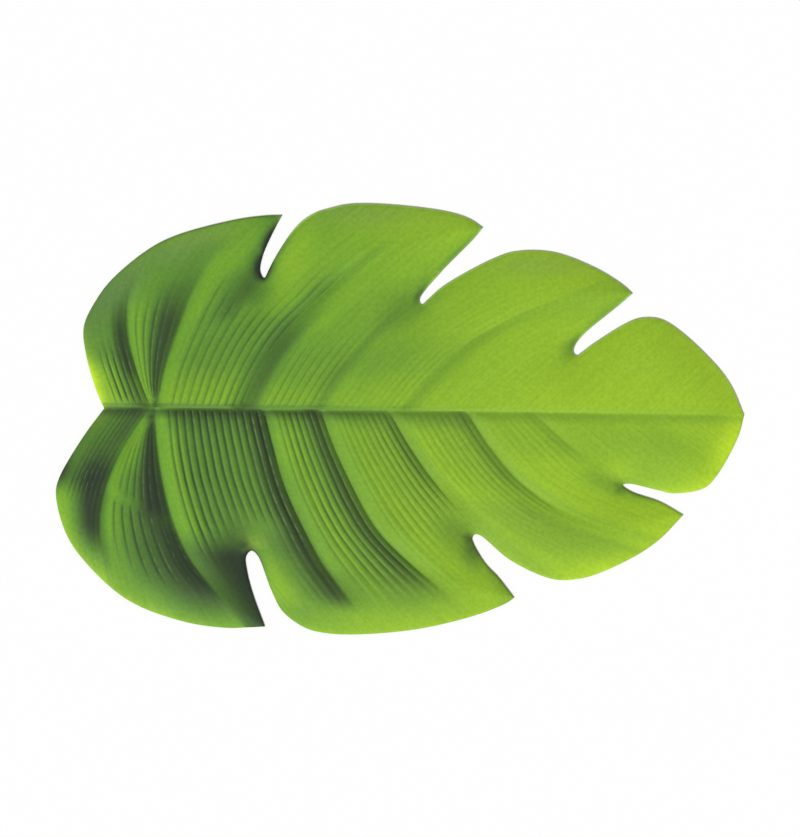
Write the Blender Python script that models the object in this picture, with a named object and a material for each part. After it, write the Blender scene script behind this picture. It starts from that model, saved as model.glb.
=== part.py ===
"""Monstera leaf lying flat, upper face up.

One thin blade: lobes parted by narrow notches, a sunken midrib with a keel below it,
sunken lateral veins that sweep toward the tip, and fine ribs between them.
Lengths are millimetres until the mesh is made. On the leaf, x runs along the midrib from
the leaf base to the tip, y across it, and z up.
"""

import math
from typing import NamedTuple

import bpy
import numpy as np
from mathutils import Vector
from mathutils.geometry import delaunay_2d_cdt

MILLIMETRE = 0.001

# The blade
LEAF_LENGTH = 450.0
BLADE_THICKNESS = 0.9
BULGE_HEIGHT = 4.6
MARGIN_TURN = 34.0

# The midrib: a groove above, a keel with a flat foot below
GROOVE_DEPTH = 1.8
GROOVE_TIP_DEPTH = 0.8
GROOVE_UPPER_WIDTH = 3.0
GROOVE_LOWER_WIDTH = 8.5
GROOVE_CURVE = 1.5
GROOVE_FADE_START = 150.0
GROOVE_FADE_END = 400.0
KEEL_HALF_WIDTH = 3.0
KEEL_FLANK = 8.0

# The lateral veins: each is a sunken line with a slope on both sides
VEIN_SLOPE_WIDTH = 13.0
VEIN_FADE = 12.0

# The fine ribs
RIB_MARGIN_RISE = 2.3
RIB_FOOT_START = 4.0
RIB_FOOT_FULL = 12.0
NARROWEST_RIB = 2.0
MOST_LEAN = 2.5
LEAN_FADE = 0.8
RIB_SIDE_FADE = 0.08

# How closely the shape is drawn
OUTLINE_STEP = 5.0
RIB_STEP = 14.0
OPEN_STEP = 11.0
MARGIN_ROWS = (4.0, 9.0)
RIB_CLEARANCE = 2.0
LOWEST_DRAWN_RIB = 0.15
FIRST_ROW = KEEL_HALF_WIDTH + KEEL_FLANK
LAST_ROW = 150.0
MIDRIB_END_GAP = 4.0
MARGIN_ROW_KEEP = 0.97
CLOSEST_MARGIN_POINTS = 3.0
CLOSEST_OPEN_POINTS = 6.6
SLOPE_STEP = 0.5
MERGE_DISTANCE = 0.00001

LEAF_GREEN = (0.24, 0.47, 0.05, 1.0)
LEAF_ROUGHNESS = 0.5

# The outline goes round clockwise from the leaf base. Each run is a smooth curve through
# its points, and the runs meet in corners: the leaf base, the lobe tips and the leaf tip.
UPPER_BASE_LOBE = [
    (0, -1), (-4.5, 8.5), (-12, 32.5), (-14, 52.5), (-5.5, 71), (4, 83.5),
    (27, 103), (45, 112.5), (84, 123.5), (104, 126.5), (115, 127),
]
UPPER_SECOND_LOBE = [
    (115, 127), (110.5, 118.5), (102.5, 100), (101, 90), (103.5, 85.5), (106.5, 91),
    (110.5, 99), (121.5, 116.3), (128.5, 123.7), (137, 129), (147, 132.2),
    (158, 134.7), (182, 135), (223.5, 130.5), (238, 126), (246.5, 120.5),
]
UPPER_THIRD_LOBE = [
    (246.5, 120.5), (241, 113.5), (219.5, 91), (205.5, 72.5), (207, 69.5), (210, 72),
    (218, 79.5), (226.5, 85.5), (253, 100), (267.5, 105), (292.5, 105), (321.5, 94.5),
    (339.5, 83.5), (345, 78.5),
]
UPPER_TIP_LOBE = [
    (345, 78.5), (336.5, 71), (313.5, 51.5), (307.5, 43.5), (307, 39), (309, 37.5),
    (312, 39.5), (320.5, 46), (346.5, 61.5), (357, 63), (365.5, 61.3), (379, 52.5),
    (402, 30.5), (411, 18), (419, 0),
]
LOWER_TIP_LOBE = [
    (419, 0), (415, -15), (400.5, -41.5), (393, -48.5), (373.5, -52), (363, -50),
    (343.5, -46), (340, -47), (345.5, -51), (364.5, -57.5), (380, -66),
]
LOWER_THIRD_LOBE = [
    (380, -66), (375, -71.5), (366, -81), (352, -91.5), (325, -105), (310.5, -109),
    (294.5, -109), (267, -97), (247, -81), (243.5, -80.5), (242, -83), (243, -86.5),
    (251, -99.5), (259.5, -108.3), (270, -121.5),
]
LOWER_SECOND_LOBE = [
    (270, -121.5), (265.5, -124.8), (246, -133), (206.5, -143), (165.5, -147),
    (146, -146.2), (133.5, -143.1), (118.5, -132.5), (111, -119), (101.5, -96), (97.5, -93),
    (94, -97), (95, -107), (99, -121.5), (107, -142.5),
]
LOWER_BASE_LOBE = [
    (107, -142.5), (94.5, -143.3), (82, -143.7), (54, -140), (16.5, -126), (-14, -98.5),
    (-25, -81), (-31, -57), (-29, -47), (-14, -20.5), (0, -1),
]
OUTLINE_RUNS = [
    UPPER_BASE_LOBE, UPPER_SECOND_LOBE, UPPER_THIRD_LOBE, UPPER_TIP_LOBE,
    LOWER_TIP_LOBE, LOWER_THIRD_LOBE, LOWER_SECOND_LOBE, LOWER_BASE_LOBE,
]


class Vein(NamedTuple):
    """A lateral vein: its way as (distance from the midrib, distance along it), how deep it
    is sunk, and how far from the midrib it has half faded. One with no depth isn't seen and
    only bounds the ribs.
    """

    way: list
    depth: float
    reach: float


class Ribs(NamedTuple):
    """The ribs between two veins: how many, how high, the share of the width that stays
    smooth beside the first vein, and how far from the margin they end.
    """

    count: int
    height: float
    smooth: float
    clear: float


class Half(NamedTuple):
    """One half of the leaf: its side of the midrib, and its veins from the leaf base on."""

    sign: float
    veins: list
    ribs: list


UPPER_HALF = Half(
    1.0,
    [
        Vein([(0, 5), (14, 0), (27, -5), (45, -9), (80, -8)], 0.0, 0.0),
        Vein([(0, 30.5), (25, 20.8), (50, 15), (68, 15), (85, 19.5), (110, 30)], 2.6, 72.0),
        Vein([(0, 34.5), (25, 39.5), (50, 47.5), (75, 57), (95, 68.5), (115, 85)], 2.8, 94.0),
        Vein([(0, 88.5), (25, 100), (50, 116.5), (75, 141), (100, 168), (125, 202)], 2.8, 90.0),
        Vein([(0, 138.5), (25, 154.5), (50, 174), (75, 199), (100, 226)], 1.2, 52.0),
        Vein([(0, 193.5), (25, 215.5), (50, 245), (65, 273), (78, 304)], 1.6, 62.0),
        Vein([(0, 238), (25, 266), (45, 292), (60, 322)], 0.5, 40.0),
        Vein([(0, 440), (80, 520)], 0.0, 0.0),
    ],
    [
        Ribs(6, 0.4, 0.1, 3.0),
        Ribs(6, 0.5, 0.1, 14.0),
        Ribs(11, 0.55, 0.1, 14.0),
        Ribs(10, 0.3, 0.25, 14.0),
        Ribs(12, 0.2, 0.1, 14.0),
        Ribs(10, 0.1, 0.1, 14.0),
        Ribs(30, 0.0, 0.0, 14.0),
    ],
)
LOWER_HALF = Half(
    -1.0,
    [
        Vein([(0, 5), (20, -9), (40, -20), (60, -27), (100, -30)], 0.0, 0.0),
        Vein([(0, 30), (25, 14), (50, 3), (75, -1.5), (100, 1), (125, 6)], 2.6, 84.0),
        Vein([(0, 33), (25, 35), (50, 39.4), (75, 46.3), (100, 58.3), (125, 79)], 3.0, 112.0),
        Vein([(0, 104.5), (25, 111), (50, 118.5), (75, 130), (100, 144), (125, 162.5)], 3.0, 116.0),
        Vein([(0, 141.5), (25, 151), (50, 163), (65, 171), (80, 181), (100, 201.5), (120, 226)], 2.8, 108.0),
        Vein([(0, 186), (25, 201), (50, 219.5), (75, 243), (95, 264)], 2.2, 54.0),
        Vein([(0, 237), (25, 254), (50, 277.5), (65, 301), (75, 327), (80, 345)], 2.2, 66.0),
        Vein([(0, 280), (25, 308.5), (40, 328), (55, 365), (65, 400)], 1.0, 28.0),
        Vein([(0, 440), (80, 560)], 0.0, 0.0),
    ],
    [
        Ribs(8, 0.4, 0.0, 4.0),
        Ribs(8, 0.5, 0.1, 14.0),
        Ribs(15, 0.65, 0.08, 14.0),
        Ribs(9, 0.6, 0.15, 14.0),
        Ribs(11, 0.35, 0.12, 14.0),
        Ribs(11, 0.2, 0.12, 14.0),
        Ribs(9, 0.1, 0.1, 14.0),
        Ribs(26, 0.0, 0.0, 14.0),
    ],
)


def smooth_step(value, start, end):
    """0 up to start, 1 from end on, and an even rise between them."""
    share = np.clip((value - start) / (end - start), 0.0, 1.0)
    return share * share * (3.0 - 2.0 * share)


def smooth_run(points, step):
    """Points along a smooth curve through the given ones, without the last one."""
    given = [np.array(point, float) for point in points]
    ends = [2 * given[0] - given[1]] + given + [2 * given[-1] - given[-2]]
    drawn = []
    for before, start, end, after in zip(ends, ends[1:], ends[2:], ends[3:]):
        knots = [0.0]
        for first, second in ((before, start), (start, end), (end, after)):
            knots.append(knots[-1] + math.sqrt(np.linalg.norm(second - first)))
        count = max(2, math.ceil(np.linalg.norm(end - start) / step))
        for at in np.linspace(knots[1], knots[2], count, endpoint=False):
            drawn.append(curve_point((before, start, end, after), knots, at))
    return drawn


def between(first, second, share):
    return first * (1.0 - share) + second * share


def curve_point(points, knots, at):
    """The point at the given parameter between the middle two of four points."""
    shares = {}
    for low, high in ((0, 1), (1, 2), (2, 3), (0, 2), (1, 3)):
        shares[low, high] = (at - knots[low]) / (knots[high] - knots[low])
    first = between(points[0], points[1], shares[0, 1])
    middle = between(points[1], points[2], shares[1, 2])
    last = between(points[2], points[3], shares[2, 3])
    early = between(first, middle, shares[0, 2])
    late = between(middle, last, shares[1, 3])
    return between(early, late, shares[1, 2])


def leaf_outline(step):
    """The outline as an array of points, scaled to the leaf's length."""
    points = []
    for run in OUTLINE_RUNS:
        points += smooth_run(run, step)
    return np.array(points)


def margin_distance(points, outline):
    """How far each point is from the nearest part of the outline."""
    nearest = np.full(len(points), np.inf)
    for start, end in zip(outline, np.roll(outline, -1, axis=0)):
        span = end - start
        offset = points - start
        share = np.clip(offset @ span / (span @ span), 0.0, 1.0)
        gap = offset - share[:, None] * span
        nearest = np.minimum(nearest, (gap**2).sum(axis=1))
    return np.sqrt(nearest)


def inside(points, outline):
    """True for each point that lies within the outline."""
    crossings = np.zeros(len(points), int)
    for start, end in zip(outline, np.roll(outline, -1, axis=0)):
        if start[1] == end[1]:
            continue
        beside = (points[:, 1] > min(start[1], end[1])) & (points[:, 1] <= max(start[1], end[1]))
        slope = (end[0] - start[0]) / (end[1] - start[1])
        crossings += beside & (points[:, 0] < start[0] + (points[:, 1] - start[1]) * slope)
    return crossings % 2 == 1


def vein_along(way, away):
    """How far along the midrib a lateral vein is, at each distance away from it."""
    knots = np.array([point[0] for point in way], float)
    values = np.array([point[1] for point in way], float)
    slopes = np.gradient(values, knots)
    piece = np.clip(np.searchsorted(knots, away, side="right") - 1, 0, len(knots) - 2)
    span = knots[piece + 1] - knots[piece]
    share = (away - knots[piece]) / span
    over = np.maximum(share - 1.0, 0.0) * span
    share = np.minimum(share, 1.0)
    rest = 1.0 - share
    curve = values[piece] * (1.0 + 2.0 * share) * rest**2
    curve += values[piece + 1] * share**2 * (3.0 - 2.0 * share)
    curve += span * slopes[piece] * share * rest**2
    curve -= span * slopes[piece + 1] * share**2 * rest
    return curve + over * slopes[-1]


def vein_lean(way, away):
    """How much further along the midrib a lateral vein gets with each step away from it."""
    return (vein_along(way, away + SLOPE_STEP) - vein_along(way, away)) / SLOPE_STEP


def rib_room(pitch, lean):
    """0 where the ribs are too close together, or lie too far over, to stand up; else 1."""
    wide = smooth_step(pitch / np.sqrt(1.0 + lean**2), 0.5 * NARROWEST_RIB, NARROWEST_RIB)
    return wide * (1.0 - smooth_step(np.abs(lean), MOST_LEAN - LEAN_FADE, MOST_LEAN))


def sunk_depth(half, along, away):
    """How far the lateral veins of one half sink the blade at each point."""
    sunk = np.zeros(len(along))
    for vein in half.veins:
        if vein.depth == 0.0:
            continue
        gap = np.abs(along - vein_along(vein.way, away))
        gap /= np.sqrt(1.0 + vein_lean(vein.way, away) ** 2)
        slope = np.clip(1.0 - gap / VEIN_SLOPE_WIDTH, 0.0, 1.0) ** 2
        kept = 1.0 - smooth_step(away, vein.reach - VEIN_FADE, vein.reach + VEIN_FADE)
        sunk = np.maximum(sunk, vein.depth * slope * kept)
    return sunk


def rib_height(half, along, away, margin):
    """How high the ribs of one half stand at each point, apart from their feet."""
    height = np.zeros(len(along))
    for first, second, ribs in zip(half.veins, half.veins[1:], half.ribs):
        start = vein_along(first.way, away)
        width = np.maximum(vein_along(second.way, away) - start, SLOPE_STEP)
        share = (along - start) / width
        lean = between(vein_lean(first.way, away), vein_lean(second.way, away), share)
        shown = smooth_step(share, ribs.smooth, ribs.smooth + RIB_SIDE_FADE)
        shown = shown * rib_room(width / ribs.count, lean)
        shown = shown * smooth_step(margin, ribs.clear, RIB_MARGIN_RISE * ribs.clear)
        wave = 0.5 - 0.5 * np.cos(2.0 * math.pi * ribs.count * share)
        within = (share >= 0.0) & (share < 1.0)
        height = np.where(within, ribs.height * wave * shown, height)
    return height


def groove_depth(points):
    """How far the groove over the midrib sinks the blade at each point."""
    width = np.where(points[:, 1] >= 0.0, GROOVE_UPPER_WIDTH, GROOVE_LOWER_WIDTH)
    fade = smooth_step(points[:, 0], GROOVE_FADE_START, GROOVE_FADE_END)
    profile = np.clip(1.0 - np.abs(points[:, 1]) / width, 0.0, 1.0) ** GROOVE_CURVE
    return between(GROOVE_DEPTH, GROOVE_TIP_DEPTH, fade) * profile


def relief(points, outline):
    """(height of the upper face, height of the lower face) at each point."""
    along = points[:, 0]
    away = np.abs(points[:, 1])
    upper = points[:, 1] >= 0.0
    margin = margin_distance(points, outline)
    sunk = np.where(upper, sunk_depth(UPPER_HALF, along, away), sunk_depth(LOWER_HALF, along, away))
    upper_ribs = rib_height(UPPER_HALF, along, away, margin)
    ribs = np.where(upper, upper_ribs, rib_height(LOWER_HALF, along, away, margin))
    ribs = ribs * smooth_step(away, RIB_FOOT_START, RIB_FOOT_FULL)
    turn = 1.0 - (1.0 - np.clip(margin / MARGIN_TURN, 0.0, 1.0)) ** 2
    bulge = turn * (BULGE_HEIGHT - np.maximum(sunk, groove_depth(points)))
    top = BLADE_THICKNESS + bulge + ribs
    beside_keel = smooth_step(away, KEEL_HALF_WIDTH, KEEL_HALF_WIDTH + KEEL_FLANK)
    bottom = (top - BLADE_THICKNESS) * beside_keel
    return top, bottom


def clear_of_margin(line, outline, least):
    """True for each point of a line that is inside the outline by at least this much."""
    kept = inside(line, outline)
    kept[kept] = margin_distance(line[kept], outline) > least
    return kept


def rib_lines(half, outline):
    """Points along each rib's crest and foot, and which of them are high enough to draw."""
    rows = np.arange(FIRST_ROW, LAST_ROW, RIB_STEP)
    drawn = []
    for first, second, ribs in zip(half.veins, half.veins[1:], half.ribs):
        if ribs.height < LOWEST_DRAWN_RIB:
            continue
        start = vein_along(first.way, rows)
        width = vein_along(second.way, rows) - start
        for half_rib in range(1, 2 * ribs.count):
            share = half_rib / (2 * ribs.count)
            if share < ribs.smooth and half_rib % 2:
                continue
            line = np.column_stack([start + width * share, half.sign * rows])
            kept = rib_room(width / ribs.count, np.gradient(line[:, 0], rows)) > 0.5
            kept &= clear_of_margin(line, outline, ribs.clear + RIB_CLEARANCE)
            drawn.append((line, kept))
    return drawn


def vein_lines(half, outline):
    """Points along the floor of each lateral vein, and down its slopes where no rib is drawn."""
    drawn = []
    plain = [ribs.height < LOWEST_DRAWN_RIB for ribs in half.ribs]
    for vein, before, after in zip(half.veins[1:], plain, plain[1:]):
        rows = np.arange(FIRST_ROW, vein.reach + VEIN_FADE, RIB_STEP)
        groove_edge = GROOVE_UPPER_WIDTH if half.sign > 0.0 else GROOVE_LOWER_WIDTH
        rows = np.insert(rows, 0, groove_edge)
        offsets = [0.0]
        if before:
            offsets += [-0.5 * VEIN_SLOPE_WIDTH, -VEIN_SLOPE_WIDTH]
        if after:
            offsets += [0.5 * VEIN_SLOPE_WIDTH, VEIN_SLOPE_WIDTH]
        for offset in offsets:
            shift = offset * np.sqrt(1.0 + vein_lean(vein.way, rows) ** 2)
            line = np.column_stack([vein_along(vein.way, rows) + shift, half.sign * rows])
            drawn.append((line, clear_of_margin(line, outline, MARGIN_ROWS[0])))
    return drawn


def midrib_lines(outline):
    """Points along the middle of the midrib, the edges of the keel's foot, which the groove's
    upper edge lies over, and the groove's lower edge.
    """
    drawn = []
    start = MIDRIB_END_GAP
    end = outline[:, 0].max() - MIDRIB_END_GAP
    for side, step in (
        (0.0, RIB_STEP),
        (KEEL_HALF_WIDTH, 0.5 * RIB_STEP),
        (-KEEL_HALF_WIDTH, RIB_STEP),
        (-GROOVE_LOWER_WIDTH, 0.5 * RIB_STEP),
    ):
        along = np.linspace(start, end, math.ceil((end - start) / step) + 1)
        line = np.column_stack([along, np.full(len(along), side)])
        drawn.append((line, clear_of_margin(line, outline, 0.5 * MIDRIB_END_GAP)))
    return drawn


def margin_points(outline):
    """Rows of points that follow the outline inside it."""
    before = np.roll(outline, 1, axis=0)
    after = np.roll(outline, -1, axis=0)
    heading = after - before
    inward = np.column_stack([heading[:, 1], -heading[:, 0]])
    inward /= np.linalg.norm(inward, axis=1)[:, None]
    found = []
    for row in MARGIN_ROWS:
        points = outline + inward * row
        points = points[inside(points, outline)]
        found.append(points[margin_distance(points, outline) > MARGIN_ROW_KEEP * row])
    return np.vstack(found)


def open_points(outline):
    """An even spread of points for the smooth stretches."""
    low = outline.min(axis=0)
    high = outline.max(axis=0)
    points = []
    for row, side in enumerate(np.arange(low[1], high[1], OPEN_STEP * math.sqrt(0.75))):
        shift = 0.5 * OPEN_STEP * (row % 2)
        for along in np.arange(low[0] + shift, high[0], OPEN_STEP):
            points.append((along, side))
    points = np.array(points)
    points = points[inside(points, outline)]
    return points[margin_distance(points, outline) > MARGIN_ROWS[-1] + 0.5 * OPEN_STEP]


def spread_out(points, taken, least):
    """The points that are at least this far from the taken ones and from each other."""
    cells = {}
    for point in taken:
        cells.setdefault((int(point[0] // least), int(point[1] // least)), []).append(point)
    kept = []
    for point in points:
        column, row = int(point[0] // least), int(point[1] // least)
        near = []
        for step_x in (-1, 0, 1):
            for step_y in (-1, 0, 1):
                near += cells.get((column + step_x, row + step_y), [])
        if all((point[0] - x) ** 2 + (point[1] - y) ** 2 >= least**2 for x, y in near):
            kept.append(point)
            cells.setdefault((column, row), []).append(point)
    return kept


def leaf_plan(outline):
    """(points, triangles) of the leaf seen from above, with edges along the veins and ribs."""
    points = [tuple(point) for point in outline]
    edges = [(index, (index + 1) % len(points)) for index in range(len(points))]
    lines = midrib_lines(outline)
    for half in (UPPER_HALF, LOWER_HALF):
        lines += vein_lines(half, outline)
        lines += rib_lines(half, outline)
    for line, kept in lines:
        last = None
        for point, use in zip(line, kept):
            if not use:
                last = None
                continue
            points.append(tuple(point))
            if last is not None:
                edges.append((last, len(points) - 1))
            last = len(points) - 1
    points += spread_out(margin_points(outline), points, CLOSEST_MARGIN_POINTS)
    points += spread_out(open_points(outline), points, CLOSEST_OPEN_POINTS)
    flat = [Vector(point) for point in points]
    found = delaunay_2d_cdt(flat, edges, [], 1, MERGE_DISTANCE)
    return np.array([tuple(point) for point in found[0]]), [tuple(face) for face in found[2]]


def leaf_mesh():
    """(points in millimetres, faces) of the closed blade."""
    outline = leaf_outline(OUTLINE_STEP)
    plan, triangles = leaf_plan(outline)
    top, bottom = relief(plan, outline)
    count = len(plan)
    points = np.vstack([np.column_stack([plan, top]), np.column_stack([plan, bottom])])
    faces = list(triangles)
    faces += [tuple(index + count for index in reversed(face)) for face in triangles]
    used = set()
    for a, b, c in triangles:
        used |= {(a, b), (b, c), (c, a)}
    for a, b in sorted(used):
        if (b, a) not in used:
            faces += [(b, a, a + count), (b, a + count, b + count)]
    return points, faces


def centred(points):
    """The points scaled to the leaf's length, over the middle of their base."""
    low = points.min(axis=0)
    high = points.max(axis=0)
    scale = LEAF_LENGTH / (high[0] - low[0])
    middle = 0.5 * (low + high)
    moved = points - np.array([middle[0], middle[1], 0.0])
    return moved * np.array([scale, scale, 1.0])


def clear_scene():
    for found in list(bpy.data.objects):
        bpy.data.objects.remove(found, do_unlink=True)


def leaf_material():
    material = bpy.data.materials.new("leaf_green")
    material.use_nodes = True
    shader = material.node_tree.nodes["Principled BSDF"]
    shader.inputs["Base Color"].default_value = LEAF_GREEN
    shader.inputs["Roughness"].default_value = LEAF_ROUGHNESS
    return material


def build():
    clear_scene()
    points, faces = leaf_mesh()
    points = centred(points) * MILLIMETRE
    mesh = bpy.data.meshes.new("leaf")
    mesh.from_pydata([tuple(point) for point in points], [], faces)
    mesh.materials.append(leaf_material())
    mesh.update()
    leaf = bpy.data.objects.new("leaf", mesh)
    collection = bpy.data.collections.new("monstera_leaf")
    bpy.context.scene.collection.children.link(collection)
    collection.objects.link(leaf)


build()
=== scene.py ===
"""Monstera leaf, dressed: a fine blade stands for the solid, with its colours, light and camera.

Lengths are millimetres until the mesh is made. On the leaf, x runs along the midrib from
the leaf base to the tip, y across it, and z up.
"""

import math
from typing import NamedTuple

import bpy
import numpy as np
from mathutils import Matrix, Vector
from mathutils.geometry import delaunay_2d_cdt

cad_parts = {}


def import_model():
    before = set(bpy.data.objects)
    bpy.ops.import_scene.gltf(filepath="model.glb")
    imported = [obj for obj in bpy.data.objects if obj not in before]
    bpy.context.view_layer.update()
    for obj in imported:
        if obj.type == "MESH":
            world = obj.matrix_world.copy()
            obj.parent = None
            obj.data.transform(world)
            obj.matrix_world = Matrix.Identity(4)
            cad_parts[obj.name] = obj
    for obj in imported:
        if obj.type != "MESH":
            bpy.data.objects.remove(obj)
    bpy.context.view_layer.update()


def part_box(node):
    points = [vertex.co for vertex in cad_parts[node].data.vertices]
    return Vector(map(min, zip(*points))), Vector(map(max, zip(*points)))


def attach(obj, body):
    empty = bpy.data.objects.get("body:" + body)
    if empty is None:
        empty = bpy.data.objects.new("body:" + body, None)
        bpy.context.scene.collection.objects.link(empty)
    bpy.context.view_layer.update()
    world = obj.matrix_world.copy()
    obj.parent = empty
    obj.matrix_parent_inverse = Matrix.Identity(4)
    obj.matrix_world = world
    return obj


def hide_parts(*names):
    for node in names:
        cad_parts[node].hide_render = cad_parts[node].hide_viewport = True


MILLIMETRE = 0.001

# The blade
BLADE_THICKNESS = 0.9
BULGE_HEIGHT = 4.6
MARGIN_TURN = 34.0
RIM_ROUNDING = 0.4
RIM_TOP = 0.62
RIM_BOTTOM = 0.3

# The midrib: a groove above, a keel with a flat foot below
GROOVE_DEPTH = 1.8
GROOVE_TIP_DEPTH = 0.8
GROOVE_UPPER_WIDTH = 3.0
GROOVE_LOWER_WIDTH = 8.5
GROOVE_CURVE = 1.5
GROOVE_FADE_START = 150.0
GROOVE_FADE_END = 400.0
KEEL_HALF_WIDTH = 3.0
KEEL_FLANK = 8.0

# The lateral veins: each is a sunken line with a slope on both sides
VEIN_SLOPE_WIDTH = 13.0
VEIN_FADE = 12.0

# The fine ribs
RIB_MARGIN_RISE = 2.3
RIB_FOOT_START = 2.0
RIB_FOOT_FULL = 8.0
NARROWEST_RIB = 2.0
MOST_LEAN = 2.5
LEAN_FADE = 0.8
RIB_SIDE_FADE = 0.08

# How closely the shape is drawn
OUTLINE_STEP = 1.6
RIB_STEP = 3.2
LINES_PER_RIB = 4
OPEN_STEP = 3.2
MARGIN_ROWS = (0.4, 1.5, 3.0, 4.6, 6.4, 8.6, 11.0)
FIRST_ROW = 5.0
LAST_ROW = 150.0
MIDRIB_SIDES = (0.0, 0.8, 1.6, 2.3, 3.0)
MIDRIB_END_GAP = 1.5
MARGIN_ROW_KEEP = 0.97
CLOSEST_MARGIN_POINTS = 1.0
CLOSEST_OPEN_POINTS = 1.7
RIB_MARGIN_GAP = 0.5
LEAST_RIB_ROOM = 0.5
SLOPE_STEP = 0.5
MERGE_DISTANCE = 0.00001

# The outline goes round clockwise from the leaf base. Each run is a smooth curve through
# its points, and the runs meet in corners: the leaf base, the lobe tips and the leaf tip.
UPPER_BASE_LOBE = [
    (0, -1), (-4.5, 8.5), (-12, 32.5), (-14, 52.5), (-5.5, 71), (4, 83.5),
    (27, 103), (45, 112.5), (84, 123.5), (104, 126.5), (115, 127),
]
UPPER_SECOND_LOBE = [
    (115, 127), (110.5, 118.5), (102.5, 100), (101, 90), (103.5, 85.5), (106.5, 91),
    (110.5, 99), (121.5, 116.3), (128.5, 123.7), (137, 129), (147, 132.2),
    (158, 134.7), (182, 135), (223.5, 130.5), (238, 126), (246.5, 120.5),
]
UPPER_THIRD_LOBE = [
    (246.5, 120.5), (241, 113.5), (219.5, 91), (205.5, 72.5), (207, 69.5), (210, 72),
    (218, 79.5), (226.5, 85.5), (253, 100), (267.5, 105), (292.5, 105), (321.5, 94.5),
    (339.5, 83.5), (345, 78.5),
]
UPPER_TIP_LOBE = [
    (345, 78.5), (336.5, 71), (313.5, 51.5), (307.5, 43.5), (307, 39), (309, 37.5),
    (312, 39.5), (320.5, 46), (346.5, 61.5), (357, 63), (365.5, 61.3), (379, 52.5),
    (402, 30.5), (411, 18), (419, 0),
]
LOWER_TIP_LOBE = [
    (419, 0), (415, -15), (400.5, -41.5), (393, -48.5), (373.5, -52), (363, -50),
    (343.5, -46), (340, -47), (345.5, -51), (364.5, -57.5), (380, -66),
]
LOWER_THIRD_LOBE = [
    (380, -66), (375, -71.5), (366, -81), (352, -91.5), (325, -105), (310.5, -109),
    (294.5, -109), (267, -97), (247, -81), (243.5, -80.5), (242, -83), (243, -86.5),
    (251, -99.5), (259.5, -108.3), (270, -121.5),
]
LOWER_SECOND_LOBE = [
    (270, -121.5), (265.5, -124.8), (246, -133), (206.5, -143), (165.5, -147),
    (146, -146.2), (133.5, -143.1), (118.5, -132.5), (111, -119), (101.5, -96), (97.5, -93),
    (94, -97), (95, -107), (99, -121.5), (107, -142.5),
]
LOWER_BASE_LOBE = [
    (107, -142.5), (94.5, -143.3), (82, -143.7), (54, -140), (16.5, -126), (-14, -98.5),
    (-25, -81), (-31, -57), (-29, -47), (-14, -20.5), (0, -1),
]
OUTLINE_RUNS = [
    UPPER_BASE_LOBE, UPPER_SECOND_LOBE, UPPER_THIRD_LOBE, UPPER_TIP_LOBE,
    LOWER_TIP_LOBE, LOWER_THIRD_LOBE, LOWER_SECOND_LOBE, LOWER_BASE_LOBE,
]


class Vein(NamedTuple):
    """A lateral vein: its way as (distance from the midrib, distance along it), how deep it
    is sunk, and how far from the midrib it has half faded. One with no depth isn't seen and
    only bounds the ribs.
    """

    way: list
    depth: float
    reach: float


class Ribs(NamedTuple):
    """The ribs between two veins: how many, how high, the share of the width that stays
    smooth beside the first vein, and how far from the margin they end.
    """

    count: int
    height: float
    smooth: float
    clear: float


class Half(NamedTuple):
    """One half of the leaf: its side of the midrib, and its veins from the leaf base on."""

    sign: float
    veins: list
    ribs: list


UPPER_HALF = Half(
    1.0,
    [
        Vein([(0, 5), (14, 0), (27, -5), (45, -9), (80, -8)], 0.0, 0.0),
        Vein([(0, 30.5), (25, 20.8), (50, 15), (68, 15), (85, 19.5), (110, 30)], 2.6, 72.0),
        Vein([(0, 34.5), (25, 39.5), (50, 47.5), (75, 57), (95, 68.5), (115, 85)], 2.8, 94.0),
        Vein([(0, 88.5), (25, 100), (50, 116.5), (75, 141), (100, 168), (125, 202)], 2.8, 90.0),
        Vein([(0, 138.5), (25, 154.5), (50, 174), (75, 199), (100, 226)], 1.2, 52.0),
        Vein([(0, 193.5), (25, 215.5), (50, 245), (65, 273), (78, 304)], 1.6, 62.0),
        Vein([(0, 238), (25, 266), (45, 292), (60, 322)], 0.5, 40.0),
        Vein([(0, 440), (80, 520)], 0.0, 0.0),
    ],
    [
        Ribs(6, 0.4, 0.1, 3.0),
        Ribs(6, 0.5, 0.1, 14.0),
        Ribs(11, 0.55, 0.1, 14.0),
        Ribs(10, 0.3, 0.25, 14.0),
        Ribs(12, 0.2, 0.1, 14.0),
        Ribs(10, 0.1, 0.1, 14.0),
        Ribs(30, 0.0, 0.0, 14.0),
    ],
)
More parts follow.
